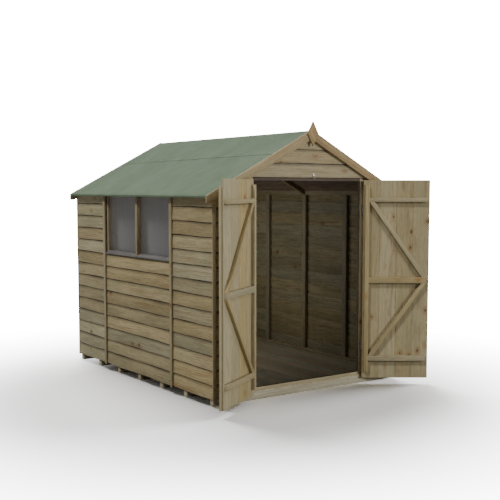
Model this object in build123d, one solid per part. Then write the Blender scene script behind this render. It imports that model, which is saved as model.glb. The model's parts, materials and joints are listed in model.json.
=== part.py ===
from build123d import *
import math
import os

# Apex garden shed in overlap boards, with a pair of ledged and braced doors.
# Millimetres, +Z up. X runs across the front, Y from the front to the rear.
# The origin is on the ground, at the middle of the floor.

# Body
body_width = 1850
body_length = 2370
bearer_width = 45
bearer_height = 58
bearer_count = 7
deck_thickness = 12
deck_board = 95

# Wall frames
frame_depth = 28
rail_height = 28
corner_stud = 28
joint_stud = 56
panel_joint = 590
rear_stud_place = 450

# Overlap boards
deck_cover = 14
exposure = 111
board_thickness = 8
lap = 12
strip_width = 32
strip_thickness = 13
strip_drop = 8

# Roof
gable_rise = 371
slope = 0.5184
eave_overhang = 50
roof_reach = 10
roof_board = 11
roof_board_width = 90
felt_thickness = 2.5
felt_fold = 14
lower_felt_stop = 130
ridge_felt_narrow = 373
ridge_felt_wide = 422
rafter_width = 28
rafter_depth = 38
rafter_gap = 1

# Bargeboards and finial
barge_thickness = 15
barge_height = 73
barge_rise = 3
barge_overhang = 10
barge_tip_height = 56
finial_rise = 70
finial_height = 193
finial_width = 106
finial_thickness = 14

# Doorway
opening_half = 543
post_width = 45
post_lap = 5
header_lap = 25
header_height = 45
gable_row = 15

# Window
window_row = 9
sill_nose = 8
sill_nose_height = 12
sill_height = 31
sill_flat = 8
mullion_width = 28
glass_thickness = 4
glass_inset = 3

# Doors
leaf_drop = 20
leaf_top_gap = 16
leaf_board = 12
leaf_boards = 4
leaf_gap = 5
meeting_gap = 6
leaf_overlay = 9
stile_width = 34
brace_foot = 41
frame_timber = 28
top_ledge_place = 145
top_ledge_width = 34
middle_ledge_width = 50
bottom_ledge_place = 147
bottom_ledge_width = 44
left_ledge_short = 2
right_ledge_short = 25
stile_top_drop = 40
cover_width = 50
cover_overhang = 23
cover_thickness = 14
cover_top_drop = 48
groove_width = 4
groove_depth = 2
left_open = 148
right_open = 144

# Hinges
top_hinge_place = 253
bottom_hinge_place = 260
knuckle_radius = 5
pin_radius = 2.5
pin_clearance = 0.3
hinge_plate = 2.5
strap_length = 300
strap_root = 15
strap_tip = 8
plate_half = 45
knuckle_gap = 1
knuckle_height = 14

# Catch over the doors
catch_place = 35
catch_width = 16
catch_height = 34
catch_clearance = 6

# Worked out from the sizes above
floor_top = bearer_height + deck_thickness
rail_top = floor_top + rail_height
cladding_bottom = floor_top - deck_cover
strip_bottom = cladding_bottom - strip_drop
gable_bottom = cladding_bottom + gable_row * exposure
window_bottom = cladding_bottom + window_row * exposure
header_bottom = gable_bottom - header_lap
ridge_top = gable_bottom + gable_rise
butt_depth = 2 * board_thickness
frame_x = body_width / 2 - butt_depth
frame_y = body_length / 2 - butt_depth
inner_x = frame_x - frame_depth
inner_y = frame_y - frame_depth
roof_angle = math.atan(slope)
plumb = 1 / math.cos(roof_angle)
boards_apex = ridge_top - 2 * felt_thickness * plumb
under_apex = boards_apex - roof_board * plumb
rafter_plumb = rafter_depth * plumb
wall_plate_low = under_apex - slope * frame_x - rail_height
roof_end = body_length / 2 + roof_reach
eave_reach = body_width / 2 + eave_overhang
barge_tip = eave_reach + barge_overhang
front_cladding_start = opening_half + post_width - post_lap
leaf_bottom = floor_top - leaf_drop
leaf_top = gable_bottom - leaf_top_gap
leaf_middle = (leaf_bottom + leaf_top) / 2
leaf_back = -frame_y - leaf_gap
leaf_front = leaf_back - leaf_board
leaf_edge = opening_half + leaf_overlay
axis_x = leaf_edge + knuckle_radius + knuckle_gap
axis_y = leaf_front
free_edge = meeting_gap / 2
stile_edge = opening_half - leaf_gap
stile_inner = stile_edge - stile_width
top_ledge = (leaf_top - top_ledge_place - top_ledge_width, leaf_top - top_ledge_place)
middle_ledge = (leaf_middle - middle_ledge_width / 2, leaf_middle + middle_ledge_width / 2)
bottom_ledge = (leaf_bottom + bottom_ledge_place, leaf_bottom + bottom_ledge_place + bottom_ledge_width)
hinge_heights = (leaf_bottom + bottom_hinge_place, leaf_top - top_hinge_place)


def under_roof(x):
    return under_apex - slope * abs(x)


def under_rafter(x):
    return under_roof(x) - rafter_plumb


def block(x0, x1, y0, y1, z0, z1):
    corner = Pos(min(x0, x1), min(y0, y1), min(z0, z1))
    size = Box(abs(x1 - x0), abs(y1 - y0), abs(z1 - z0), align=(Align.MIN, Align.MIN, Align.MIN))
    return corner * size


def prism(outline, run):
    face = Face(Wire.make_polygon([Vector(*point) for point in outline], close=True))
    return Solid.extrude(face, Vector(*run))


def along_y(outline, y0, y1):
    return prism([(x, y0, z) for x, z in outline], (0, y1 - y0, 0))


def along_z(outline, z0, z1):
    return prism([(x, y, z0) for x, y in outline], (0, 0, z1 - z0))


def mirrored(solid):
    return mirror(solid, about=Plane.YZ)


def save(name, *solids):
    shape = solids[0] if len(solids) == 1 else Compound(list(solids))
    export_step(shape, f"parts/{name}.step")


os.makedirs("parts", exist_ok=True)


# Floor

def bearers():
    first = -frame_y + bearer_width / 2
    pitch = (2 * frame_y - bearer_width) / (bearer_count - 1)
    made = []
    for index in range(bearer_count):
        middle = first + index * pitch
        made.append(block(-frame_x, frame_x, middle - bearer_width / 2, middle + bearer_width / 2,
                          0, bearer_height))
    return made


def grooved_line(start, end, pitch, level, depth):
    count = max(1, round(abs(end - start) / pitch))
    step = (end - start) / count
    half = math.copysign(groove_width / 2, step)
    points = [(start, level)]
    for index in range(1, count):
        seam = start + index * step
        points += [(seam - half, level), (seam, level + depth), (seam + half, level)]
    points.append((end, level))
    return points


def deck():
    top = grooved_line(frame_x, -frame_x, deck_board, floor_top, -groove_depth)
    outline = [(-frame_x, bearer_height), (frame_x, bearer_height)] + top
    return along_y(outline, -frame_y, frame_y)


save("floor_bearers", *bearers())
save("floor_deck", deck())


# Overlap boards: each board leans on the one below, so both faces of a panel are stepped

def board_lean(rise):
    return board_thickness * (1 - rise / (exposure + lap))


def overlap_outline(bottom, top):
    outer = []
    inner = []
    level = bottom
    while level < top - 1:
        end = min(level + exposure, top)
        outer += [(board_thickness + board_lean(0), level),
                  (board_thickness + board_lean(end - level), end)]
        start = level if level == bottom else level + lap
        finish = min(level + exposure + lap, top)
        if start < top - 1:
            inner += [(board_lean(start - level), start), (board_lean(finish - level), finish)]
        level += exposure
    return outer + inner[::-1]


def wall_point(side, out, along, z):
    places = {
        "left": (-frame_x - out, along, z),
        "right": (frame_x + out, along, z),
        "front": (along, -frame_y - out, z),
        "rear": (along, frame_y + out, z),
    }
    return places[side]


def overlap_panel(side, start, end, bottom, top):
    outline = [wall_point(side, out, start, z) for out, z in overlap_outline(bottom, top)]
    length = end - start
    run = (0, length, 0) if side in ("left", "right") else (length, 0, 0)
    return prism(outline, run)


def space_below(line):
    reach = body_width / 2
    outline = [(-reach, 0), (reach, 0), (reach, line(reach)), (0, line(0)), (-reach, line(reach))]
    return along_y(outline, -body_length, body_length)


def gable_panel(side, start, end, bottom):
    tallest = max(under_roof(start), under_roof(end), under_apex if start * end < 0 else 0)
    return overlap_panel(side, start, end, bottom, tallest) & space_below(under_roof)


def end_panel(side, start, end):
    return overlap_panel(side, start, end, cladding_bottom, gable_bottom) & space_below(under_roof)


side_top = under_roof(body_width / 2)
side_end = body_length / 2
gable_half = (under_apex - gable_bottom) / slope

save("left_rear_panel", overlap_panel("left", panel_joint, side_end, cladding_bottom, side_top))
save("left_window_panel",
     overlap_panel("left", -panel_joint, panel_joint, cladding_bottom, window_bottom))
save("left_front_panel", overlap_panel("left", -side_end, -panel_joint, cladding_bottom, side_top))
save("right_rear_panel", overlap_panel("right", panel_joint, side_end, cladding_bottom, side_top))
save("right_middle_panel",
     overlap_panel("right", -panel_joint, panel_joint, cladding_bottom, side_top))
save("right_front_panel", overlap_panel("right", -side_end, -panel_joint, cladding_bottom, side_top))
save("front_left_panel", end_panel("front", -frame_x, -front_cladding_start))
save("front_right_panel", end_panel("front", front_cladding_start, frame_x))
save("front_gable_cladding", gable_panel("front", -gable_half, gable_half, gable_bottom))
save("rear_left_panel", end_panel("rear", -frame_x, 0))
save("rear_right_panel", end_panel("rear", 0, frame_x))
save("rear_gable_cladding", gable_panel("rear", -gable_half, gable_half, gable_bottom))


# Wall frames

def side_stud(middle, width, top):
    return block(-frame_x, -inner_x, middle - width / 2, middle + width / 2, rail_top, top)


def side_plate():
    outline = [(-inner_x, wall_plate_low), (-frame_x, wall_plate_low), (-frame_x, under_roof(frame_x)),
               (-inner_x, under_roof(inner_x))]
    return along_y(outline, -inner_y, inner_y)


def side_bottom_rail():
    return block(-frame_x, -inner_x, -inner_y, inner_y, floor_top, rail_top)


end_stud = inner_y - corner_stud / 2
joint_edge = panel_joint - joint_stud / 2
full_studs = [side_stud(-end_stud, corner_stud, wall_plate_low),
              side_stud(-panel_joint, joint_stud, wall_plate_low),
              side_stud(panel_joint, joint_stud, wall_plate_low),
              side_stud(end_stud, corner_stud, wall_plate_low)]
window_rail_low = window_bottom - rail_height
window_rail = block(-frame_x, -inner_x, -joint_edge, joint_edge, window_rail_low, window_bottom)

save("left_wall_studs", *full_studs, side_stud(0, joint_stud, window_rail_low))
save("left_wall_rails", side_bottom_rail(), window_rail, side_plate())
save("right_wall_studs",
     *[mirrored(stud) for stud in full_studs + [side_stud(0, joint_stud, wall_plate_low)]])
save("right_wall_rails", mirrored(side_bottom_rail()), mirrored(side_plate()))


def sloped_post(x0, x1, y0, y1, bottom):
    outline = [(x0, bottom), (x1, bottom), (x1, under_rafter(x1)), (x0, under_rafter(x0))]
    return along_y(outline, y0, y1)


def end_rafter(y0, y1):
    outline = [(rafter_gap, under_rafter(rafter_gap)), (frame_x, under_rafter(frame_x)),
               (frame_x, under_roof(frame_x)), (rafter_gap, under_roof(rafter_gap))]
    return along_y(outline, y0, y1)


def rear_studs():
    stud_top = tie_top - rail_height
    corner = sloped_post(inner_x, frame_x, inner_y, frame_y, rail_top)
    side = block(rear_stud_place - corner_stud / 2, rear_stud_place + corner_stud / 2,
                 inner_y, frame_y, rail_top, stud_top)
    middle = block(-joint_stud / 2, joint_stud / 2, inner_y, frame_y, rail_top, stud_top)
    half = corner_stud / 2
    king_outline = [(-half, tie_top), (half, tie_top), (half, under_rafter(half)),
                    (-half, under_rafter(half))]
    king = along_y(king_outline, inner_y, frame_y)
    return [corner, mirrored(corner), side, mirrored(side), middle, king]


tie_top = under_rafter(frame_x)
front_corner = sloped_post(inner_x, frame_x, -frame_y, -inner_y, rail_top)
front_post = sloped_post(opening_half, opening_half + post_width, -frame_y, -inner_y, floor_top)
front_rail = block(opening_half + post_width, frame_x, -frame_y, -inner_y, floor_top, rail_top)
front_rafter = end_rafter(-frame_y, -inner_y)
rear_rafter = end_rafter(inner_y, frame_y)

save("rear_wall_studs", *rear_studs())
save("rear_wall_rails",
     block(-frame_x, frame_x, inner_y, frame_y, floor_top, rail_top),
     block(-inner_x, inner_x, inner_y, frame_y, tie_top - rail_height, tie_top))
save("rear_gable_rafters", rear_rafter, mirrored(rear_rafter))
save("front_corner_studs", front_corner, mirrored(front_corner))
save("front_bottom_rails", front_rail, mirrored(front_rail))
save("front_gable_rafters", front_rafter, mirrored(front_rafter))
save("door_posts", front_post, mirrored(front_post))
header = block(-opening_half, opening_half, -frame_y, -inner_y, header_bottom,
               header_bottom + header_height)
save("door_header", header & space_below(under_rafter))
save("door_sill_rail", block(-opening_half, opening_half, -frame_y, -inner_y, floor_top, rail_top))


# Cover strips

def side_strip(middle):
    face = body_width / 2
    outer = face + strip_thickness
    return block(-outer, -face, middle - strip_width / 2, middle + strip_width / 2,
                 strip_bottom, under_roof(outer))


def end_strip(x0, x1, y0, y1):
    return block(x0, x1, y0, y1, strip_bottom, under_roof(max(abs(x0), abs(x1))))


side_strips = [side_strip(-panel_joint), side_strip(panel_joint)]
corner_x = body_width / 2
front_strip = end_strip(corner_x - strip_width, corner_x, -roof_end, -side_end)
rear_strip = end_strip(corner_x - strip_width, corner_x, side_end, roof_end)
rear_middle_strip = block(-strip_width / 2, strip_width / 2, side_end, roof_end,
                          strip_bottom, gable_bottom)

save("left_cover_strips", *side_strips)
save("right_cover_strips", *[mirrored(strip) for strip in side_strips])
save("front_corner_strips", front_strip, mirrored(front_strip))
save("rear_cover_strips", rear_strip, mirrored(rear_strip), rear_middle_strip)


# Window

def window_sill():
    nose = body_width / 2 + sill_nose
    flat = inner_x + sill_flat
    top = window_bottom + sill_height
    outline = [(-nose, window_bottom), (-inner_x, window_bottom), (-inner_x, top), (-flat, top),
               (-nose, window_bottom + sill_nose_height)]
    return along_y(outline, -joint_edge, joint_edge)


def window_mullion():
    half = mullion_width / 2
    nose = body_width / 2
    flat = inner_x + sill_flat
    fall = (sill_height - sill_nose_height) / (nose + sill_nose - flat)
    top = window_bottom + sill_height
    outline = [(-nose, top - fall * (nose - flat)), (-flat, top), (-inner_x, top),
               (-inner_x, wall_plate_low), (-nose, wall_plate_low)]
    return along_y(outline, -half, half)


def window_pane(y0, y1):
    x0 = inner_x + glass_inset
    return block(-x0 - glass_thickness, -x0, y0, y1, window_bottom + sill_height, wall_plate_low)


save("window_sill", window_sill())
save("window_mullion", window_mullion())
save("window_panes", window_pane(mullion_width / 2, joint_edge),
     window_pane(-joint_edge, -mullion_width / 2))


# Roof

def roof_slab():
    count = round(eave_reach / (roof_board_width / plumb))
    step = eave_reach / count
    under = [(0, under_apex)]
    for index in range(1, count):
        seam = index * step
        for offset, rise in ((-groove_width / 2, 0), (0, groove_depth), (groove_width / 2, 0)):
            x = seam + offset
            under.append((x, under_roof(x) + rise))
    under.append((eave_reach, under_roof(eave_reach)))
    top = [(eave_reach, boards_apex - slope * eave_reach), (0, boards_apex)]
    return along_y(under + top, -roof_end, roof_end)


def lower_felt():
    reach = eave_reach + felt_thickness
    rise = felt_thickness * plumb
    top = boards_apex + rise
    fold_low = top - slope * reach - felt_fold
    outline = [(lower_felt_stop, boards_apex - slope * lower_felt_stop),
               (eave_reach, boards_apex - slope * eave_reach),
               (eave_reach, fold_low), (reach, fold_low), (reach, top - slope * reach),
               (lower_felt_stop, top - slope * lower_felt_stop)]
    return along_y(outline, -roof_end, roof_end)


def ridge_felt():
    reach = ridge_felt_wide
    low = boards_apex + felt_thickness * plumb
    outline = [(-reach, low - slope * reach), (0, low), (reach, low - slope * reach),
               (reach, ridge_top - slope * reach), (0, ridge_top), (-reach, ridge_top - slope * reach)]
    sheet = along_y(outline, -roof_end, roof_end)
    plan = [(-ridge_felt_narrow, -roof_end), (ridge_felt_wide, -roof_end),
            (ridge_felt_narrow, roof_end), (-ridge_felt_wide, roof_end)]
    return sheet & along_z(plan, 0, ridge_top + 1)


def middle_rafter():
    outline = [(rafter_gap, under_rafter(rafter_gap)), (inner_x, under_rafter(inner_x)),
               (inner_x, under_roof(inner_x)), (rafter_gap, under_roof(rafter_gap))]
    return along_y(outline, -rafter_width / 2, rafter_width / 2)


save("roof_boards_right", roof_slab())
save("roof_boards_left", mirrored(roof_slab()))
save("felt_right", lower_felt())
save("felt_left", mirrored(lower_felt()))
save("felt_ridge", ridge_felt())
save("truss_rafters", middle_rafter(), mirrored(middle_rafter()))


# Bargeboards and finial

def bargeboard(y0, y1):
    apex = ridge_top + barge_rise
    low = apex - barge_height
    barge_foot = apex - slope * barge_tip - barge_tip_height
    turn = (low - barge_foot) / slope
    outline = [(0, low), (turn, barge_foot), (barge_tip, barge_foot),
               (barge_tip, apex - slope * barge_tip), (0, apex)]
    return along_y(outline, y0, y1)


def finial():
    finial_top = ridge_top + finial_rise
    finial_bottom = finial_top - finial_height
    middle = (finial_top + finial_bottom) / 2
    outline = [(0, finial_bottom), (finial_width / 2, middle), (0, finial_top),
               (-finial_width / 2, middle)]
    front = -roof_end - barge_thickness
    return along_y(outline, front - finial_thickness, front)


front_barge = bargeboard(-roof_end - barge_thickness, -roof_end)
rear_barge = bargeboard(roof_end, roof_end + barge_thickness)
save("front_barge_right", front_barge)
save("front_barge_left", mirrored(front_barge))
save("rear_barge_right", rear_barge)
save("rear_barge_left", mirrored(rear_barge))
save("front_finial", finial())


# Doors, built closed on the right-hand side and then swung open

def leaf_panel():
    step = (leaf_edge - free_edge) / leaf_boards
    half = groove_width / 2
    front = [(free_edge, leaf_front)]
    back = [(free_edge, leaf_back)]
    for index in range(1, leaf_boards):
        seam = free_edge + index * step
        front += [(seam - half, leaf_front), (seam, leaf_front + groove_depth),
                  (seam + half, leaf_front)]
        back += [(seam - half, leaf_back), (seam, leaf_back - groove_depth), (seam + half, leaf_back)]
    front.append((leaf_edge, leaf_front))
    back.append((leaf_edge, leaf_back))
    return along_z(front + back[::-1], leaf_bottom, leaf_top)


def leaf_stile():
    return block(stile_inner, stile_edge, leaf_back, leaf_back + frame_timber,
                 rail_top + leaf_gap, leaf_top - stile_top_drop)


def leaf_ledge(levels, short):
    return block(free_edge + short, stile_inner, leaf_back, leaf_back + frame_timber, *levels)


def leaf_brace(hinge_level, free_level, short):
    free = free_edge + short
    outline = [(stile_inner, hinge_level), (stile_inner - brace_foot, hinge_level),
               (free, free_level), (free + brace_foot, free_level)]
    return along_y(outline, leaf_back, leaf_back + frame_timber)


def hinge_strap(height):
    outline = [(axis_x, height - strap_root), (axis_x, height + strap_root),
               (axis_x - strap_length, height + strap_tip), (axis_x - strap_length, height - strap_tip)]
    strap = along_y(outline, leaf_front - hinge_plate, leaf_front)
    knuckle = Pos(axis_x, axis_y, height) * Cylinder(knuckle_radius, 2 * strap_root)
    bore = Pos(axis_x, axis_y, height) * Cylinder(pin_radius + pin_clearance, 4 * strap_root)
    return strap + knuckle - bore


def hinge_post_plate(height):
    side = axis_x + knuckle_radius
    shape = block(side, front_cladding_start - knuckle_gap, -frame_y - hinge_plate, -frame_y,
                  height - plate_half, height + plate_half)
    start = strap_root + knuckle_gap
    for direction in (-1, 1):
        middle = height + direction * (start + knuckle_height / 2)
        shape += Pos(axis_x, axis_y, middle) * Cylinder(knuckle_radius, knuckle_height)
        shape += block(side - hinge_plate, side, axis_y, -frame_y,
                       height + direction * start, height + direction * plate_half)
    pin = Pos(axis_x, axis_y, height) * Cylinder(pin_radius, 2 * (start + knuckle_height))
    return shape + pin


def meeting_cover():
    back = leaf_front - leaf_gap - 1
    front = leaf_front - cover_thickness
    outline = [(-cover_overhang, back), (-cover_overhang, front),
               (cover_width - cover_overhang, front), (cover_width - cover_overhang, leaf_front),
               (free_edge, leaf_front), (free_edge, back)]
    return along_z(outline, leaf_bottom, leaf_top - cover_top_drop)


def swung(solids, side, angle):
    placed = solids if side > 0 else [mirrored(solid) for solid in solids]
    pivot = Axis((side * axis_x, axis_y, 0), (0, 0, 1))
    return [solid.rotate(pivot, side * angle) for solid in placed]


def leaf_pieces(short):
    ledges = [leaf_ledge(levels, short) for levels in (top_ledge, middle_ledge, bottom_ledge)]
    braces = [leaf_brace(top_ledge[0], middle_ledge[1], short),
              leaf_brace(bottom_ledge[1], middle_ledge[0], short)]
    return {
        "boards": [leaf_panel()],
        "stile": [leaf_stile()],
        "ledges": ledges,
        "braces": braces,
        "hinges": [hinge_strap(height) for height in hinge_heights],
    }


for name, solids in leaf_pieces(right_ledge_short).items():
    save(f"right_door_{name}", *swung(solids, 1, right_open))
for name, solids in leaf_pieces(left_ledge_short).items():
    save(f"left_door_{name}", *swung(solids, -1, left_open))
save("left_door_cover_strip", *swung([meeting_cover()], -1, left_open))

post_plates = [hinge_post_plate(height) for height in hinge_heights]
save("hinge_plates", *post_plates, *[mirrored(plate) for plate in post_plates])


# Catch on the lowest gable board, clear above the closed doors

def header_catch():
    low = gable_bottom
    face = -body_length / 2
    half = catch_width / 2
    plate = block(catch_place - half, catch_place + half, face - hinge_plate, face,
                  low, low + catch_height)
    arm_front = leaf_front - catch_clearance - 2 * pin_radius
    arm = block(catch_place - 2 * pin_radius, catch_place + 2 * pin_radius, arm_front, face,
                low + catch_height / 4, low + catch_height / 2)
    peg_low = leaf_top + catch_clearance
    peg_height = low + catch_height / 2 - peg_low
    peg = Pos(catch_place, arm_front + pin_radius, peg_low + peg_height / 2)
    return plate + arm + peg * Cylinder(pin_radius, peg_height)


save("header_catch", header_catch())
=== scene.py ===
import bmesh
import bpy
import json
import math
import random
from mathutils import Matrix, Vector

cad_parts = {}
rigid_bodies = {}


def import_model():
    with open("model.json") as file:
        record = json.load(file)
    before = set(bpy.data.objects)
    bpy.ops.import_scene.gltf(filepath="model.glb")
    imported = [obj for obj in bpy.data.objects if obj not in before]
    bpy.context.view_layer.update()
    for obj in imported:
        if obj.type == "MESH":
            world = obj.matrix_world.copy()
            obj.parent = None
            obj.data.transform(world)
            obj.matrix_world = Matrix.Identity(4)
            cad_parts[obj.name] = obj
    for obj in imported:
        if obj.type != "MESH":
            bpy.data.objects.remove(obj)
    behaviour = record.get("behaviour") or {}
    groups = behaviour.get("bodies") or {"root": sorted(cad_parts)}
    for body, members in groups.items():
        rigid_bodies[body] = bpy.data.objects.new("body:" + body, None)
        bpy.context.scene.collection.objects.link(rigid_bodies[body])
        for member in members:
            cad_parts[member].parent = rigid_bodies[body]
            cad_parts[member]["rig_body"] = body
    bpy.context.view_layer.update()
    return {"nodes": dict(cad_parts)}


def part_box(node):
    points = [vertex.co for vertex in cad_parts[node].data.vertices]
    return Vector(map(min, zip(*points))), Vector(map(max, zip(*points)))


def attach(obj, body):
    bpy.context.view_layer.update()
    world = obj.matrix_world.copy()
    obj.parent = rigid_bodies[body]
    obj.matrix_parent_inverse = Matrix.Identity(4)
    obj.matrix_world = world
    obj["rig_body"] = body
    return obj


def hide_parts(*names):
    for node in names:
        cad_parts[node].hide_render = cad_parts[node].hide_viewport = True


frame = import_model()
random.seed(11)

# Camera: its place in metres, its turns in degrees, its lens and sensor in millimetres
CAMERA_PLACE = (-4.472, -6.722, 1.637)
CAMERA_YAW = -35.094
CAMERA_PITCH = -5.213
CAMERA_LENS = 64.3
CAMERA_SHIFT = 0.0396
SENSOR_WIDTH = 36

# Light from all round, and the white that the camera sees behind the floor
AMBIENT = 0.08
SKY = 18.0

# Suns as strength, angle and direction: the first two light everything, the others only the shed
STUDIO_SUNS = {
    "rear": (2.7, 0.62, (0.10, 0.62, 0.78)),
    "right": (1.30, 0.50, (0.80, -0.10, 0.58)),
}
SHED_SUNS = {
    "front": (2.05, 0.22, (0.30, -0.91, 0.28)),
    "left": (2.25, 0.14, (-0.62, -0.12, 0.76)),
}

# The soft panel by the window wall and the soft lamp in the room, which light only the inside
WINDOW_POWER = 4.8
WINDOW_LENGTH = 2.0
WINDOW_HEIGHT = 1.1
WINDOW_RISE = 1.1
WINDOW_INSET = 0.06
WINDOW_SOURCE = (-1.0, 0.0, 0.25)
WINDOW_COLOUR = (0.90, 0.95, 1.0)
LAMP_POWER = 7.4
LAMP_RADIUS = 0.4
LAMP_PLACE = (-0.25, 0.45, 1.05)
LAMP_COLOUR = (0.92, 0.96, 1.0)
CARD_INSET = 0.001

# The floor: half its side, its grey to the camera and to light, and its glow, near and far
FLOOR_REACH = 60
FLOOR_SEEN = (2.2, 2.2, 2.2, 1)
FLOOR_LIT = (0.52, 0.52, 0.52, 1)
FADE_CENTRE = (-0.6, -0.8, 0.0)
FADE_START = 1.35
FADE_END = 5.0
GLOW_START = 0.0
GLOW_END = 18.0

# Sizes that the boards share with the frame, in metres
EXPOSURE = 0.111
LAP = 0.012
BOARD = 0.008
SLOPE = 0.5184
FELT = 0.0025
RIDGE_NARROW = 0.373
RIDGE_WIDE = 0.422
ROOF_BOARD_WIDTH = 0.090
DECK_BOARD = 0.095
LEAF_BOARDS = 4
FREE_EDGE = 0.003
LEAF_EDGE = 0.552
LEAF_FACES = (-1.186, -1.174)
HINGE_PLACE = (0.558, -1.186)
HINGE_PLATE = 0.0025

# Each leaf's side and how far it stands open, in degrees
LEAVES = {"left_door": (-1, 148), "right_door": (1, 144)}

PLUMB = math.sqrt(1 + SLOPE * SLOPE)
RIDGE_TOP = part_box("felt_ridge")[1].z
BOARDS_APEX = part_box("roof_boards_right")[1].z
UNDER_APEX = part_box("front_gable_cladding")[1].z
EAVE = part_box("roof_boards_right")[1].x
ROOF_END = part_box("roof_boards_right")[1].y
FRAME_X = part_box("floor_deck")[1].x
FRAME_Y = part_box("floor_deck")[1].y

# How timber strays from straight: by how much, and over what length, in metres
WALL_BOW = (0.0006, 0.9)
WALL_SAG = (0.0022, 0.6)
DECK_SAG = (0.0002, 0.8)
LEAF_SAG = (0.0002, 0.9)
FOOT_DROP = 0.0015
FOOT_SETBACK = 0.0005
HALF_GAP = 0.0004
PLANK_STEP = 0.12
WALL_STEP = 0.06

# Eased edges, in metres
CORNER_EASE = 0.0012
DECK_EASE = 0.0018
ROOF_EASE = 0.002
LEAF_GROOVE = 0.0028
METAL_EASE = 0.0004
PANE_EASE = 0.0005
EDGE_SHARE = 2.2

# Which angles count as flat, as an edge to ease, and as smooth, and which axes count as upright
FLAT_DEGREES = 0.5
EASED_RADIANS = 0.35
SMOOTH_DEGREES = 28
UPRIGHT = 0.9
WELD = 1e-6

# The log that grain is cut from, and the rise of what has no painted shade line
LOG_LENGTH = 40
LOG_RADIUS = 0.12
PLAIN_RISE = 0.05

# Felt: its turned edge, its ripple and how finely it is drawn
FELT_FOLD = 0.014
FOLD_WAVER = 0.001
FOLD_RATE = 9
TURN_START = 0.002
TURN_DROP = 0.002
TURN_INSET = 0.0006
RIPPLE = 0.0006
RIPPLE_LENGTH = 0.5
CROSS_LENGTH = 0.35
CROSS_SKEW = 0.4
CAP_WAVER = (0.0015, 0.9)
CAP_RIPPLE_START = 0.1
RIDGE_DIP = 0.0018
RIDGE_BEND = 0.012
FELT_ROWS = 48
SLOPE_COLUMNS = 24
CAP_COLUMNS = 12

# Heads of nails, clouts and screws, in metres
HEAD_TURNS = [math.tau * step / 8 for step in range(8)]
HEAD_RINGS = ((1.0, 0.0), (1.0, 1.2), (0.72, 1.8))
NAIL_RADIUS = 0.0022
NAIL_HEIGHT = 0.0006
NAIL_EDGE = 0.016
NAIL_RISE = 0.024
NAIL_STRAY = 0.004
STUD_PITCH = 0.60
CLOUT_RADIUS = 0.0050
CLOUT_HEIGHT = 0.0006
CLOUT_EDGE = 0.022
CLOUT_PITCH = 0.15
EAVE_CLOUT_HEIGHT = 0.0004
EAVE_CLOUT_DROP = 0.005
TOP_LEDGE = 0.162
BOTTOM_LEDGE = 0.169
LEDGE_NAILS = (0.22, 0.78)
SCREW_HEIGHT = 0.0005
STRAP_ROOT = 0.015
STRAP_SCREW_RADIUS = 0.0032
STRAP_SCREWS = (0.035, 0.13, 0.225, 0.285)
PLATE_SCREW_RADIUS = 0.0030
PLATE_SCREWS = (-0.03, 0.0, 0.03)
PLATE_MIDDLE = 0.045
PLATE_SCREW_INSET = 0.0085

# The wood's patterns: how fine along the grain and across it, detail and roughness
WOOD_PATTERNS = {
    "drift": (1.3, 6.0, 3.0, 0.5),
    "fibres": (9.0, 420.0, 3.0, 0.6),
    "streaks": (2.2, 62.0, 4.0, 0.65),
    "bands": (1.0, 20.0, 3.0, 0.55),
    "patches": (1.8, 8.0, 3.0, 0.55),
    "flecks": (22.0, 170.0, 2.0, 0.6),
    "shade": (6.0, 30.0, 2.0, 0.5),
    "ridges": (260.0, 9.0, 2.0, 0.5),
}
KNOT_SPREAD = (0.62, 1.0, 1.0)
KNOT_SCALE = 13.0
KNOT_EDGES = (0.17, 0.08)
HALO_EDGES = (0.44, 0.12)
RING_DRIFT = (0.0, 0.09, 0.09)
RING_BEND = 0.018
RING_RATE = 430.0

# The painted shade under each lap: how far below the next board's foot its dark line and its softer band
# each start and are full, and the painted shade line on the foot's own edge
SHADE_LINE_EDGES = (0.0125, 0.005)
SHADE_BAND_EDGES = (0.032, 0.006)
FOOT_SHADE_EDGES = (0.0018, 0.0006)
SHADE_BAND_STRENGTH = 0.55

# How one board differs from the next in hue
HUE_RATE = 7.31
HUE_MIDDLE = 0.4995
HUE_SPREAD = 0.0115

PANELS = {
    "left": ("left_rear_panel", "left_window_panel", "left_front_panel"),
    "right": ("right_rear_panel", "right_middle_panel", "right_front_panel"),
    "front": ("front_left_panel", "front_right_panel", "front_gable_cladding"),
    "rear": ("rear_left_panel", "rear_right_panel", "rear_gable_cladding"),
}
INSIDE = (
    "right_rear_panel", "right_middle_panel", "right_front_panel", "rear_left_panel", "rear_right_panel",
    "rear_gable_cladding", "right_wall_studs", "right_wall_rails", "rear_wall_studs", "rear_wall_rails",
    "rear_gable_rafters", "truss_rafters", "roof_boards_right", "roof_boards_left", "floor_deck",
    "door_posts", "front_corner_studs",
)

# What the shed's own suns fall on, and what the two inside lights fall on
shed_pieces = bpy.data.collections.new("shed_pieces")
inside_pieces = bpy.data.collections.new("inside_pieces")


# Node trees

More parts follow.
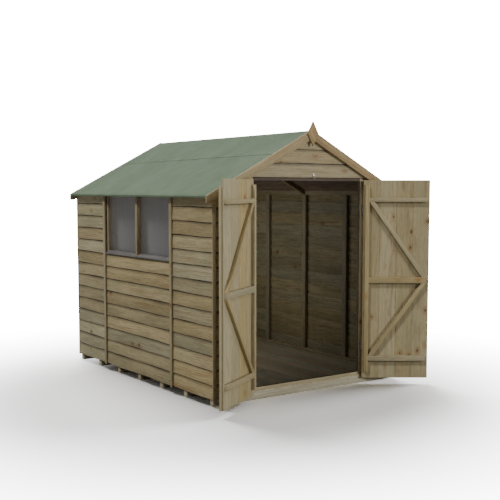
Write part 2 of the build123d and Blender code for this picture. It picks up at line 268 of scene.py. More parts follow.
class Nodes:
    """A short way to add and join shader nodes."""

    def __init__(self, name):
        self.material = bpy.data.materials.new(name)
        self.material.use_nodes = True
        self.tree = self.material.node_tree
        self.shader = self.tree.nodes["Principled BSDF"]

    def feed(self, socket, value):
        if isinstance(value, bpy.types.NodeSocket):
            self.tree.links.new(value, socket)
        elif value is not None:
            socket.default_value = value

    def new(self, kind, *values):
        """A node with its first inputs fed in order."""
        node = self.tree.nodes.new("ShaderNode" + kind)
        for socket, value in zip(node.inputs, values):
            self.feed(socket, value)
        return node

    def attribute(self, name, output):
        node = self.new("Attribute")
        node.attribute_name = name
        return node.outputs[output]

    def object_place(self):
        return self.new("TexCoord").outputs["Object"]

    def math(self, operation, first, second=None):
        node = self.new("Math", first, second)
        node.operation = operation
        return node.outputs[0]

    def vector(self, operation, first, second=None):
        node = self.new("VectorMath", first, second)
        node.operation = operation
        return node.outputs["Value"] if operation in ("LENGTH", "DISTANCE") else node.outputs[0]

    def noise(self, vector, scale, detail, rough, output="Fac"):
        node = self.new("TexNoise", vector)
        node.inputs["Scale"].default_value = scale
        node.inputs["Detail"].default_value = detail
        node.inputs["Roughness"].default_value = rough
        return node.outputs[output]

    def cells(self, vector, scale, output="Distance"):
        node = self.new("TexVoronoi", vector)
        node.inputs["Scale"].default_value = scale
        return node.outputs[output]

    def span(self, value, low, high, to_low=0.0, to_high=1.0):
        node = self.new("MapRange", value, low, high, to_low, to_high)
        node.interpolation_type = "SMOOTHSTEP"
        return node.outputs[0]

    def mix(self, share, first, second):
        node = self.new("Mix", share)
        node.data_type = "RGBA"
        for index, colour in ((6, first), (7, second)):
            self.feed(node.inputs[index], (*colour, 1) if isinstance(colour, tuple) else colour)
        return node.outputs[2]

    def bump(self, height, strength, distance):
        node = self.new("Bump")
        node.inputs["Strength"].default_value = strength
        node.inputs["Distance"].default_value = distance
        self.feed(node.inputs["Height"], height)
        self.feed(self.shader.inputs["Normal"], node.outputs[0])


# Materials

def tinted(colour, red, green, blue):
    return colour[0] * red, colour[1] * green, colour[2] * blue


def wood_pattern(wood, place, name, output="Fac"):
    """One of the wood's patterns, drawn out along the grain."""
    along, across, detail, rough = WOOD_PATTERNS[name]
    return wood.noise(wood.vector("MULTIPLY", place, (along, across, across)), 1.0, detail, rough, output)


def knot_marks(wood, grain, knots):
    """Knots, and the halo round each, from 0 to 1. A higher value of knots leaves fewer of them."""
    spread = wood.vector("MULTIPLY", grain, KNOT_SPREAD)
    far = wood.cells(spread, KNOT_SCALE)
    chosen = wood.math("GREATER_THAN", wood.cells(spread, KNOT_SCALE, "Color"), knots)
    knot = wood.math("MULTIPLY", wood.span(far, *KNOT_EDGES), chosen)
    halo = wood.math("MULTIPLY", wood.span(far, *HALO_EDGES), chosen)
    return knot, halo


def growth_rings(wood, bent, halo):
    """Rings round the log's heart, which bend round the knots."""
    across = wood.vector("LENGTH", wood.vector("MULTIPLY", bent, (0.0, 1.0, 1.0)))
    across = wood.math("ADD", across, wood.math("MULTIPLY", halo, RING_BEND))
    return wood.span(wood.math("SINE", wood.math("MULTIPLY", across, RING_RATE)), -0.4, 1.0)


def painted_lap_shade(wood, grain):
    """Painted shade: a dark line under each lap with a softer band of painted shade below it, and a thin
    painted shade line on each board's foot.
    """
    rise = wood.attribute("rise", "Fac")
    shade = wood_pattern(wood, grain, "shade")
    under = wood.span(rise, *(EXPOSURE - edge for edge in SHADE_LINE_EDGES))
    line = wood.math("MAXIMUM", under, wood.span(rise, *FOOT_SHADE_EDGES))
    line = wood.math("MULTIPLY", line, wood.span(shade, 0.25, 0.6, 0.6, 0.95))
    band = wood.span(rise, *(EXPOSURE - edge for edge in SHADE_BAND_EDGES), 0.0, SHADE_BAND_STRENGTH)
    return wood.math("MAXIMUM", band, line)


def board_tone(wood, colour, tone_share, tint):
    """Makes each board a little lighter, darker, redder or greener than the next."""
    tone = wood.attribute("tone", "Fac")
    turn = wood.math("FRACT", wood.math("MULTIPLY", tone, HUE_RATE))
    spread = HUE_SPREAD * tint
    board = wood.new("HueSaturation")
    wood.feed(board.inputs["Color"], colour)
    wood.feed(board.inputs["Value"], wood.span(tone, 0.0, 1.0, 1.0 - tone_share / 2, 1.0 + tone_share / 2))
    wood.feed(board.inputs["Hue"], wood.span(turn, 0.0, 1.0, HUE_MIDDLE - spread, HUE_MIDDLE + spread))
    wood.feed(board.inputs["Saturation"], wood.span(turn, 0.0, 1.0, 1.12, 0.85))
    return board.outputs[0]


def make_wood(name, pale, dark, green, saw_marks=0.0, knots=0.8, tone_share=0.3, streaking=0.6, tint=1.0):
    """Softwood, treated under pressure: growth rings, fibres, knots and green patches along the grain."""
    wood = Nodes(name)
    grain = wood.attribute("grain", "Vector")
    knot, halo = knot_marks(wood, grain, knots)
    drift = wood_pattern(wood, grain, "drift", "Color")
    bent = wood.vector("ADD", grain, wood.vector("MULTIPLY", drift, RING_DRIFT))
    rings = growth_rings(wood, bent, halo)
    fibres, patches, flecks = (wood_pattern(wood, grain, part) for part in ("fibres", "patches", "flecks"))
    streaks, bands = (wood_pattern(wood, bent, part) for part in ("streaks", "bands"))

    deep = tinted(dark, 0.55, 0.55, 0.55)
    warm = tinted(dark, 1.24, 1.0, 0.76)
    pith = tinted(dark, 0.46, 0.38, 0.32)
    colour = wood.mix(wood.math("MULTIPLY", rings, wood.span(bands, 0.35, 0.7, 0.1, 0.75)), pale, dark)
    # Each layer: a pattern, where in it the colour starts and is full, how strong it gets, and the colour
    layers = (
        (patches, 0.40, 0.70, 0.80, green),
        (streaks, 0.42, 0.72, streaking, dark),
        (bands, 0.55, 0.80, 0.55, warm),
        (streaks, 0.46, 0.26, 0.45, pale),
        (fibres, 0.40, 0.78, 0.35, deep),
        (flecks, 0.50, 0.80, 0.40, deep),
        (flecks, 0.50, 0.24, 0.35, pale),
    )
    for pattern, start, full, strength, layer in layers:
        colour = wood.mix(wood.span(pattern, start, full, 0.0, strength), colour, layer)
    colour = wood.mix(wood.math("MULTIPLY", halo, 0.7), colour, warm)
    colour = wood.mix(wood.math("MULTIPLY", knot, 0.9), colour, pith)
    # Painted shade under each lap and on each board's foot, a fifth as bright as the dark colour
    colour = wood.mix(painted_lap_shade(wood, grain), colour, tinted(dark, 0.20, 0.20, 0.20))
    wood.feed(wood.shader.inputs["Base Color"], board_tone(wood, colour, tone_share, tint))
    wood.feed(wood.shader.inputs["Roughness"], wood.span(streaks, 0.2, 0.8, 0.62, 0.86))

    height = wood.math("ADD", wood.math("MULTIPLY", fibres, 0.7), wood.math("MULTIPLY", rings, -0.25))
    height = wood.math("ADD", height, wood.math("MULTIPLY", knot, 0.4))
    if saw_marks:
        ridges = wood_pattern(wood, grain, "ridges")
        height = wood.math("ADD", height, wood.math("MULTIPLY", ridges, saw_marks))
    wood.bump(height, 0.6, 0.0008)
    return wood.material


def make_felt():
    """Green mineral felt: coarse grit over a sheet that is a little uneven in colour."""
    felt = Nodes("mineral_felt")
    grain = felt.attribute("grain", "Vector")
    grit_size = 700.0
    grit = felt.cells(grain, grit_size, "Color")
    grit_far = felt.cells(grain, grit_size)
    clouds = felt.noise(felt.vector("MULTIPLY", grain, (3.0, 5.0, 5.0)), 1.0, 4.0, 0.6)
    colour = felt.mix(felt.span(clouds, 0.3, 0.7), (0.113, 0.157, 0.098), (0.147, 0.190, 0.124))
    colour = felt.mix(felt.math("MULTIPLY", grit, 0.4), colour, (0.05, 0.075, 0.045))
    felt.feed(felt.shader.inputs["Base Color"], colour)
    felt.shader.inputs["Roughness"].default_value = 0.93
    felt.shader.inputs["Specular IOR Level"].default_value = 0.25
    felt.bump(felt.math("SUBTRACT", 1.0, grit_far), 0.6, 0.0006)
    return felt.material


def make_steel(name, dull, bright, worn):
    """Galvanised steel with a faint spangle."""
    steel = Nodes(name)
    place = steel.object_place()
    flakes = steel.cells(place, 160.0, "Color")
    wear = steel.noise(place, 40.0, 4.0, 0.6)
    colour = steel.mix(steel.math("MULTIPLY", flakes, 0.6), dull, bright)
    colour = steel.mix(steel.span(wear, 0.5, 0.75, 0.0, 0.5), colour, worn)
    steel.feed(steel.shader.inputs["Base Color"], colour)
    steel.shader.inputs["Metallic"].default_value = 0.9
    steel.feed(steel.shader.inputs["Roughness"], steel.span(wear, 0.3, 0.7, 0.38, 0.58))
    steel.bump(wear, 0.2, 0.0003)
    return steel.material


def make_glazing():
    """Plastic sheet in a flat grey that stands in for what it reflects, as painted reflection, with faint
    upright streaks: painted reflection in the colour, real ripples in the roughness and bump.
    """
    pane = Nodes("glazing")
    place = pane.object_place()
    lines = pane.noise(pane.vector("MULTIPLY", place, (60.0, 60.0, 0.7)), 1.0, 2.0, 0.5)
    cloud = pane.noise(pane.vector("MULTIPLY", place, (3.0, 3.0, 3.0)), 1.0, 2.0, 0.5)
    # The greys and their upright streaks are painted reflection
    colour = pane.mix(pane.span(lines, 0.35, 0.65), (0.352, 0.338, 0.328), (0.376, 0.361, 0.349))
    colour = pane.mix(pane.span(cloud, 0.3, 0.7, 0.0, 0.2), colour, (0.342, 0.333, 0.326))
    pane.feed(pane.shader.inputs["Base Color"], colour)
    pane.feed(pane.shader.inputs["Roughness"], pane.span(lines, 0.3, 0.7, 0.16, 0.26))
    pane.shader.inputs["Transmission Weight"].default_value = 0.05
    pane.shader.inputs["IOR"].default_value = 1.45
    pane.bump(lines, 0.04, 0.0006)
    return pane.material


def make_ground():
    """A floor paler to the camera than to light, with a glow that grows with distance until all is white."""
    ground = Nodes("ground")
    ground.tree.nodes.remove(ground.shader)
    seen = ground.new("LightPath").outputs["Is Camera Ray"]
    far = ground.vector("DISTANCE", ground.object_place(), FADE_CENTRE)
    glow = ground.new("Emission", None, ground.span(far, FADE_START, FADE_END, GLOW_START, GLOW_END))
    plain = ground.new("BsdfDiffuse", FLOOR_LIT)
    bright = ground.new("BsdfDiffuse", FLOOR_SEEN)
    both = ground.new("AddShader", bright.outputs[0], glow.outputs[0])
    choice = ground.new("MixShader", seen, plain.outputs[0], both.outputs[0])
    ground.feed(ground.tree.nodes["Material Output"].inputs["Surface"], choice.outputs[0])
    return ground.material


def make_black_card():
    card = Nodes("black_card")
    card.shader.inputs["Base Color"].default_value = (0.0, 0.0, 0.0, 1)
    card.shader.inputs["Specular IOR Level"].default_value = 0.0
    return card.material


# Pieces and their meshes

class Stack:
    """The points, faces and grain of the boards that make one piece."""

    def __init__(self):
        self.points = []
        self.faces = []
        self.grain = []
        self.tone = []
        self.rise = []

    def add(self, points, faces, grain, tone, rise=None):
        base = len(self.points)
        self.points += points
        self.grain += grain
        self.tone += [tone] * len(points)
        self.rise += rise or [PLAIN_RISE] * len(points)
        self.faces += [[base + corner for corner in face] for face in faces]

    def finish(self, name, node, material, slot):
        mesh = bpy.data.meshes.new(name)
        mesh.from_pydata(self.points, [], self.faces)
        grain = mesh.attributes.new("grain", "FLOAT_VECTOR", "POINT")
        grain.data.foreach_set("vector", [number for place in self.grain for number in place])
        tone = mesh.attributes.new("tone", "FLOAT", "POINT")
        tone.data.foreach_set("value", self.tone)
        rise = mesh.attributes.new("rise", "FLOAT", "POINT")
        rise.data.foreach_set("value", self.rise)
        solid = bmesh.new()
        solid.from_mesh(mesh)
        bmesh.ops.recalc_face_normals(solid, faces=solid.faces)
        solid.to_mesh(mesh)
        solid.free()
        dress(mesh, name, node, material)


def dress(mesh, name, node, material):
    """Makes the mesh a piece that stands for a node, and puts it in its lights."""
    for face in mesh.polygons:
        face.use_smooth = True
    mesh.set_sharp_from_angle(angle=math.radians(SMOOTH_DEGREES))
    mesh.materials.append(material)
    piece = bpy.data.objects.new(name, mesh)
    bpy.context.scene.collection.objects.link(piece)
    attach(piece, frame["nodes"][node]["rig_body"])
    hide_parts(node)
    if node != "window_panes":
        shed_pieces.objects.link(piece)
    if node in INSIDE:
        inside_pieces.objects.link(piece)


# Boards

def wander(size, wavelength):
    """A smooth random line about zero, as long timber has."""
    waves = []
    for _ in range(3):
        height = size * random.uniform(0.3, 0.7)
        rate = math.tau / (wavelength * random.uniform(0.6, 1.6))
        waves.append((height, rate, random.uniform(0, math.tau)))
    return lambda place: sum(height * math.sin(rate * place + start) for height, rate, start in waves)


def still(place):
    return 0.0


def level_end(place):
    return lambda u, v: place


def grain_start():
    """A random place in the log, so that no two boards show the same grain."""
    along = random.uniform(-LOG_LENGTH, LOG_LENGTH)
    return [along] + [random.uniform(-LOG_RADIUS, LOG_RADIUS) for _ in range(2)]


def rounded(corners, radius=CORNER_EASE, steps=2):
    """The outline with each corner eased by a short curve."""
    outline = []
    count = len(corners)
    for index, corner in enumerate(corners):
        here = Vector(corner)
        before = Vector(corners[index - 1]) - here
        after = Vector(corners[(index + 1) % count]) - here
        reach = min(radius, before.length / EDGE_SHARE, after.length / EDGE_SHARE)
        first = here + before.normalized() * reach
        last = here + after.normalized() * reach
        for step in range(steps + 1):
            share = step / steps
            curve = first * (1 - share) ** 2 + here * 2 * share * (1 - share) + last * share * share
            outline.append(tuple(curve))
    return outline


def plank(stack, outline, start, end, place, shift=still, lift=still, step=PLANK_STEP, foot=None):
    """Sweeps an outline in u and v along the grain, between two end lines, with eased ends."""
    middle = Vector((sum(u for u, v in outline), sum(v for u, v in outline))) / len(outline)
    first = min(start(u, v) for u, v in outline)
    last = max(end(u, v) for u, v in outline)
    count = max(2, round((last - first) / step))
    rings = [(0, 0, CORNER_EASE), (0, CORNER_EASE, 0)]
    rings += [(index / count, 0, 0) for index in range(1, count)]
    rings += [(1, -CORNER_EASE, 0), (1, 0, CORNER_EASE)]
    jump = grain_start()
    weather_side = {(u, v) for u, v in outline if u > middle.x}
    points = []
    grain = []
    rise = []
    for share, ahead, shrink in rings:
        for u, v in outline:
            # Only the outer face gets a rise, so only it carries the painted shade under each lap
            outer = foot is not None and (u, v) in weather_side
            rise.append(v - foot if outer else PLAIN_RISE)
            along = start(u, v) + (end(u, v) - start(u, v)) * share + ahead
            inward = middle - Vector((u, v))
            inward = inward.normalized() * shrink
            points.append(place(along, u + inward.x + shift(along), v + inward.y + lift(along)))
            grain.append((along + jump[0], u + jump[1], v + jump[2]))
    size = len(outline)
    faces = []
    for ring in range(len(rings) - 1):
        here, beyond = ring * size, (ring + 1) * size
        for index in range(size):
            after = (index + 1) % size
            faces.append([here + index, here + after, beyond + after, beyond + index])
    faces.append(list(range(size))[::-1])
    faces.append([(len(rings) - 1) * size + index for index in range(size)])
    stack.add(points, faces, grain, random.random(), rise)


def lean(rise):
    """How far a board's back stands off the frame at this height above its foot."""
    return BOARD * (1 - rise / (EXPOSURE + LAP))


def wall_place(side, along, out, z):
    places = {
        "left": (-FRAME_X - out, along, z),
        "right": (FRAME_X + out, along, z),
        "front": (along, -FRAME_Y - out, z),
        "rear": (along, FRAME_Y + out, z),
    }
    return places[side]


def overlap_wall(node, side, material):
    """Overlap boards on one panel, each leaning on the one below, none quite straight."""
    low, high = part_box(node)
    across = 1 if side in ("left", "right") else 0
    start, end = low[across], high[across]
    stack = Stack()
    level = low.z
    while level < high.z - LAP:
        top = min(level + EXPOSURE + LAP, high.z)
        drop = random.uniform(0.0, FOOT_DROP)
        corners = [(BOARD + lean(0) - FOOT_SETBACK, level + drop), (lean(0), level + drop),
                   (lean(top - level), top), (BOARD + lean(top - level), top)]
        if across:
            ends = level_end(start), level_end(end)
        else:
            ends = (lambda u, v: max(start, -(UNDER_APEX - v) / SLOPE),
                    lambda u, v: min(end, (UNDER_APEX - v) / SLOPE))
        foot = level + drop if high.z - level > EXPOSURE / 2 else None
        plank(stack, rounded(corners), *ends, lambda s, u, v: wall_place(side, s, u, v),
              wander(*WALL_BOW), wander(*WALL_SAG), WALL_STEP, foot)
        level += EXPOSURE
    stack.finish(node + "_boards", node, material, "overlap_boards")


def deck_boards(material):
    low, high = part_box("floor_deck")
    count = round((high.x - low.x) / DECK_BOARD)
    width = (high.x - low.x) / count
    stack = Stack()
    for index in range(count):
        x0 = low.x + index * width + HALF_GAP
        x1 = x0 + width - 2 * HALF_GAP
        corners = [(x0, low.z), (x1, low.z), (x1, high.z), (x0, high.z)]
        plank(stack, rounded(corners, DECK_EASE), level_end(low.y), level_end(high.y),
              lambda s, u, v: (u, s, v), lift=wander(*DECK_SAG))
    stack.finish("floor_deck_boards", "floor_deck", material, "floor_timber")


def roof_boards(node, side, material):
    count = round(EAVE / (ROOF_BOARD_WIDTH / PLUMB))
    width = EAVE / count
    stack = Stack()
    for index in range(count):
        x0 = index * width + HALF_GAP
        x1 = (index + 1) * width - HALF_GAP
        corners = [(x0, UNDER_APEX - SLOPE * x0), (x1, UNDER_APEX - SLOPE * x1),
                   (x1, BOARDS_APEX - SLOPE * x1), (x0, BOARDS_APEX - SLOPE * x0)]
        plank(stack, rounded(corners, ROOF_EASE), level_end(-ROOF_END), level_end(ROOF_END),
              lambda s, u, v: (side * u, s, v))
    stack.finish(node + "_planks", node, material, "roof_timber")


def swing(side, angle):
    """Turns a point of the closed right-hand leaf to where this leaf stands open."""
    turn = math.radians(side * angle)
    pivot = Vector((side * HINGE_PLACE[0], HINGE_PLACE[1], 0))
    rotation = Matrix.Rotation(turn, 3, "Z")
    return lambda x, y, z: tuple(pivot + rotation @ (Vector((side * x, y, z)) - pivot))


def leaf_boards(leaf, material):
    """The upright boards of one leaf, with a groove at each joint."""
    node = leaf + "_boards"
    low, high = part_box(node)
    width = (LEAF_EDGE - FREE_EDGE) / LEAF_BOARDS
    front, back = LEAF_FACES
    place = swing(*LEAVES[leaf])
    stack = Stack()
    for index in range(LEAF_BOARDS):
        x0 = FREE_EDGE + index * width
        x1 = x0 + width
        corners = [(x0, front), (x1, front), (x1, back), (x0, back)]
        plank(stack, rounded(corners, LEAF_GROOVE, 1), level_end(low.z), level_end(high.z),
              lambda s, u, v: place(u, v, s), lift=wander(*LEAF_SAG))
    stack.finish(node + "_planks", node, material, "door_timber")


# Solids of the frame, dressed as they are

def islands(mesh):
    """The loose solids of a CAD mesh, each as its own points and faces."""
    whole = bmesh.new()
    whole.from_mesh(mesh)
    bmesh.ops.remove_doubles(whole, verts=whole.verts, dist=WELD)
    left = set(whole.verts)
    groups = []
    while left:
        seed = left.pop()
        group = {seed}
        queue = [seed]
        while queue:
            for edge in queue.pop().link_edges:
                for corner in edge.verts:
                    if corner not in group:
                        group.add(corner)
                        left.discard(corner)
                        queue.append(corner)
        groups.append(group)
    found = []
    for group in groups:
        faces = {face for corner in group for face in corner.link_faces}
        order = {corner: index for index, corner in enumerate(sorted(group, key=lambda c: c.index))}
        points = [tuple(corner.co) for corner in order]
        found.append((points, [[order[corner] for corner in face.verts] for face in faces]))
    whole.free()
    return found


def eased(points, faces, ease):
    """One solid with flat faces merged and every edge softened, and the direction of its longest edge."""
    solid = bmesh.new()
    corners = [solid.verts.new(point) for point in points]
    for face in faces:
        solid.faces.new([corners[index] for index in face])
    bmesh.ops.recalc_face_normals(solid, faces=solid.faces)
    bmesh.ops.dissolve_limit(solid, angle_limit=math.radians(FLAT_DEGREES), verts=solid.verts,
                             edges=solid.edges)
    longest = max(solid.edges, key=lambda edge: edge.calc_length())
    axis = (longest.verts[1].co - longest.verts[0].co).normalized()
    sharp = [edge for edge in solid.edges
             if len(edge.link_faces) == 2 and edge.calc_face_angle() > EASED_RADIANS]
    bmesh.ops.bevel(solid, geom=sharp, offset=ease, segments=2, profile=0.5, affect="EDGES",
                    clamp_overlap=True)
    solid.verts.index_update()
    points = [tuple(corner.co) for corner in solid.verts]
    faces = [[corner.index for corner in face.verts] for face in solid.faces]
    solid.free()
    return points, faces, axis


def length_grain(points, axis):
    """The grain of a sawn length: along its axis, and across it both ways."""
    level = Vector((0.0, 0.0, 1.0)) if abs(axis.z) < UPRIGHT else Vector((1.0, 0.0, 0.0))
    side = axis.cross(level).normalized()
    other = axis.cross(side)
    jump = Vector(grain_start())
    centre = sum((Vector(point) for point in points), Vector()) / len(points)
    grain = []
    for point in points:
        reach = Vector(point) - centre
        grain.append(tuple(Vector((reach.dot(axis), reach.dot(side), reach.dot(other))) + jump))
    return grain


def timber(node, material, slot, ease=CORNER_EASE):
    """Each solid of a node as one sawn length, with the grain along its longest edge."""
    stack = Stack()
    for points, faces in islands(frame["nodes"][node].data):
        points, faces, axis = eased(points, faces, ease)
        stack.add(points, faces, length_grain(points, axis), random.random())
    stack.finish(node + "_timber", node, material, slot)


# Felt

def sheet_slab(stack, top, bottom):
    """A thin sheet from two grids of points, closed round its rim."""
    rows, columns = len(top), len(top[0])
    size = rows * columns
    points = [point for row in top + bottom for point in row]
    faces = []
    for row in range(rows - 1):
        for column in range(columns - 1):
            here = row * columns + column
            corners = [here, here + 1, here + 1 + columns, here + columns]
            faces += [corners, [size + corner for corner in reversed(corners)]]
    rim = list(range(columns)) + [row * columns + columns - 1 for row in range(1, rows)]
    rim += [(rows - 1) * columns + column for column in range(columns - 2, -1, -1)]
    rim += [row * columns for row in range(rows - 2, 0, -1)]
    for index, here in enumerate(rim):
        after = rim[(index + 1) % len(rim)]
        faces.append([here, size + here, size + after, after])
    stack.add(points, faces, points, random.random())


def felt_sheet(node, row, material):
    """A sheet of felt from a function that gives one row of points at a place and height."""
    ends = [-ROOF_END + 2 * ROOF_END * step / FELT_ROWS for step in range(FELT_ROWS + 1)]
    stack = Stack()
    sheet_slab(stack, [row(y, FELT) for y in ends], [row(y, 0.0) for y in ends])
    stack.finish(node + "_sheet", node, material, "roofing_felt")


def felt_slope(node, side, material):
    """The lower strip on one slope, laid over the eave and turned down."""
    low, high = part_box(node)
    stop = min(abs(low.x), abs(high.x))
    ripple = wander(RIPPLE, RIPPLE_LENGTH)
    cross = wander(RIPPLE, CROSS_LENGTH)

    def row(y, offset):
        line = []
        for step in range(SLOPE_COLUMNS + 1):
            x = stop + (EAVE - TURN_START - stop) * step / SLOPE_COLUMNS
            wave = abs(ripple(y + x)) + abs(cross(x - CROSS_SKEW * y))
            line.append((side * x, y, BOARDS_APEX - SLOPE * x + offset * PLUMB + wave))
        edge = EAVE + offset
        z = BOARDS_APEX - SLOPE * edge + offset * PLUMB
        fold = FELT_FOLD + FOLD_WAVER * math.sin(FOLD_RATE * y)
        line += [(side * (edge - TURN_INSET), y, z - TURN_INSET), (side * edge, y, z - TURN_DROP),
                 (side * edge, y, z - fold / 2), (side * edge, y, z - fold)]
        return line

    felt_sheet(node, row, material)


def ridge_reach(side, y):
    """How far the ridge strip reaches down a slope: it lies a little askew."""
    share = (y + ROOF_END) / (2 * ROOF_END)
    return RIDGE_NARROW + (RIDGE_WIDE - RIDGE_NARROW) * (share if side < 0 else 1 - share)


def felt_cap(material):
    """The strip over the ridge, its edges not quite straight."""
    waver = {side: wander(*CAP_WAVER) for side in (-1, 1)}
    ripple = wander(RIPPLE, RIPPLE_LENGTH)

    def row(y, offset):
        line = []
        for side in (-1, 1):
            shares = [step / CAP_COLUMNS for step in range(CAP_COLUMNS + 1)]
            for share in shares if side > 0 else shares[:0:-1]:
                x = share * (ridge_reach(side, y) - abs(waver[side](y)))
                dip = RIDGE_DIP * math.exp(-(x / RIDGE_BEND) ** 2)
                wave = abs(ripple(y + side * x)) * min(1.0, x / CAP_RIPPLE_START)
                z = RIDGE_TOP - FELT * PLUMB + offset * PLUMB - SLOPE * x - dip + wave
                line.append((side * x, y, z))
        return line

    felt_sheet("felt_ridge", row, material)


# Nails, clouts and screws

class Heads:
    """Small domed heads that ride on one body, gathered into one piece."""

    def __init__(self):
        self.mesh = bmesh.new()

    def add(self, place, out, radius=NAIL_RADIUS, height=NAIL_HEIGHT):
        out = Vector(out).normalized()
        side = out.orthogonal().normalized()
        other = out.cross(side)
        foot = Vector(place) - out * height
        rings = []
        for share, rise in HEAD_RINGS:
            middle = foot + out * rise * height
            rings.append([self.mesh.verts.new(middle + radius * share * (
                side * math.cos(turn) + other * math.sin(turn))) for turn in HEAD_TURNS])
        for low, high in zip(rings, rings[1:]):
            for index in range(len(low)):
                after = (index + 1) % len(low)
                self.mesh.faces.new((low[index], low[after], high[after], high[index]))
        self.mesh.faces.new(rings[-1])
        self.mesh.faces.new(rings[0][::-1])

    def finish(self, name, body, material, slot):
        mesh = bpy.data.meshes.new(name)
        self.mesh.to_mesh(mesh)
        self.mesh.free()
        mesh.materials.append(material)
        piece = bpy.data.objects.new(name, mesh)
        bpy.context.scene.collection.objects.link(piece)
        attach(piece, body)
        shed_pieces.objects.link(piece)


def wall_nails(heads, node, side):
    """One nail through each board at each stud, a little above the lap."""
    low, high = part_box(node)
    across = 1 if side in ("left", "right") else 0
    limit = FRAME_Y if across else FRAME_X
    start, end = low[across] + NAIL_EDGE, high[across] - NAIL_EDGE
    count = max(1, round((end - start) / STUD_PITCH))
    out = Vector(wall_place(side, 0, 1, 0)) - Vector(wall_place(side, 0, 0, 0))
    level = low.z
    while level < high.z - 2 * NAIL_RISE:
        rise = NAIL_RISE + random.uniform(-NAIL_STRAY, NAIL_STRAY)
        room = (UNDER_APEX - level - rise) / SLOPE - NAIL_EDGE if not across else limit
        for index in range(count + 1):
            along = start + (end - start) * index / count + random.uniform(-NAIL_STRAY, NAIL_STRAY)
            if abs(along) < min(room, limit):
                heads.add(wall_place(side, along, BOARD + lean(rise), level + rise), out)
        level += EXPOSURE


def felt_clouts(heads):
    """Clouts along both edges of the ridge strip, and smaller ones along the turned edge at the eaves."""
    count = round(2 * ROOF_END / CLOUT_PITCH)
    eave_z = BOARDS_APEX - SLOPE * EAVE - EAVE_CLOUT_DROP
    for side in (-1, 1):
        for index in range(count):
            y = -ROOF_END + 2 * ROOF_END * (index + 0.5) / count
            x = ridge_reach(side, y) - CLOUT_EDGE
            heads.add((side * x, y, RIDGE_TOP - SLOPE * x), (side * SLOPE, 0, 1), CLOUT_RADIUS, CLOUT_HEIGHT)
            heads.add((side * (EAVE + FELT), y, eave_z), (side, 0, 0), NAIL_RADIUS, EAVE_CLOUT_HEIGHT)


def leaf_out(place):
    """The way that a leaf's outer face looks."""
    return Vector(place(0, -1, 0)) - Vector(place(0, 0, 0))


def leaf_nails(heads, leaf):
    """Pairs of nails through each board into each ledge, driven from the outer face."""
    place = swing(*LEAVES[leaf])
    width = (LEAF_EDGE - FREE_EDGE) / LEAF_BOARDS
    low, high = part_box(leaf + "_boards")
    for z in (high.z - TOP_LEDGE, (low.z + high.z) / 2, low.z + BOTTOM_LEDGE):
        for index in range(LEAF_BOARDS):
            for share in LEDGE_NAILS:
                x = FREE_EDGE + (index + share) * width
                stray = random.uniform(-NAIL_STRAY, NAIL_STRAY)
                heads.add(place(x, LEAF_FACES[0], z + stray), leaf_out(place))


def strap_screws(heads, leaf):
    """Screws along each hinge strap."""
    place = swing(*LEAVES[leaf])
    low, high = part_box(leaf + "_hinges")
    for z in (low.z + STRAP_ROOT, high.z - STRAP_ROOT):
        for along in STRAP_SCREWS:
            heads.add(place(HINGE_PLACE[0] - along, LEAF_FACES[0] - HINGE_PLATE, z), leaf_out(place),
                      STRAP_SCREW_RADIUS, SCREW_HEIGHT)


def plate_screws(heads):
    """Three screws, one above the other, in each hinge plate."""
    low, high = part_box("hinge_plates")
    for side in (-1, 1):
        for middle in (low.z + PLATE_MIDDLE, high.z - PLATE_MIDDLE):
            for rise in PLATE_SCREWS:
                place = (side * (high.x - PLATE_SCREW_INSET), -FRAME_Y - HINGE_PLATE, middle + rise)
                heads.add(place, (0, -1, 0), PLATE_SCREW_RADIUS, SCREW_HEIGHT)


# Camera, floor and light

def add_camera():
    data = bpy.data.cameras.new("camera")
    data.lens = CAMERA_LENS
    data.sensor_width = SENSOR_WIDTH
    data.shift_y = CAMERA_SHIFT
    camera = bpy.data.objects.new("camera", data)
    camera.location = CAMERA_PLACE
    camera.rotation_euler = (math.radians(90 + CAMERA_PITCH), 0, math.radians(CAMERA_YAW))
    bpy.context.scene.collection.objects.link(camera)
    bpy.context.scene.camera = camera


def studio_sheet(name, corners, material):
    """A flat sheet with four corners."""
    mesh = bpy.data.meshes.new(name)
    mesh.from_pydata(corners, [], [(0, 1, 2, 3)])
    mesh.materials.append(material)
    sheet = bpy.data.objects.new(name, mesh)
    bpy.context.scene.collection.objects.link(sheet)
    return sheet


def add_floor():
    """A plain pale floor that fades to white away from the object."""
    size = FLOOR_REACH
    corners = [(-size, -size, 0), (size, -size, 0), (size, size, 0), (-size, size, 0)]
    ground = studio_sheet("ground", corners, make_ground())


def add_flag():
    """A black card across the doorway, unseen by the camera, that keeps the front light off the inside."""
    header_low, header_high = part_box("door_header")
    half = header_high.x
    bottom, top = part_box("door_sill_rail")[1].z, header_low.z
    y = -FRAME_Y + CARD_INSET
    corners = [(-half, y, bottom), (half, y, bottom), (half, y, top), (-half, y, top)]
    flag = studio_sheet("flag", corners, make_black_card())
    flag.visible_camera = False


def add_light(name, kind, energy, receivers):
    data = bpy.data.lights.new(name, kind)
    data.energy = energy
    light = bpy.data.objects.new(name, data)
    bpy.context.scene.collection.objects.link(light)
    light.light_linking.receiver_collection = receivers
    return light


def turn_from(source):
    """The turn that makes a light shine from this direction."""
    return Vector(source).to_track_quat("Z", "Y").to_euler()


def add_suns(suns, receivers):
    for name, (energy, angle, source) in suns.items():
        sun = add_light(name, "SUN", energy, receivers)
        sun.data.angle = angle
        sun.rotation_euler = turn_from(source)


def add_window_light():
    """A soft panel of daylight along the inside of the window wall."""
    light = add_light("window_light", "AREA", WINDOW_POWER, inside_pieces)
    light.data.shape = "RECTANGLE"
    light.data.size = WINDOW_LENGTH
    light.data.size_y = WINDOW_HEIGHT
    light.data.color = WINDOW_COLOUR
    light.location = (-FRAME_X + WINDOW_INSET, 0.0, WINDOW_RISE)
    light.rotation_euler = turn_from(WINDOW_SOURCE)
    light.visible_camera = False


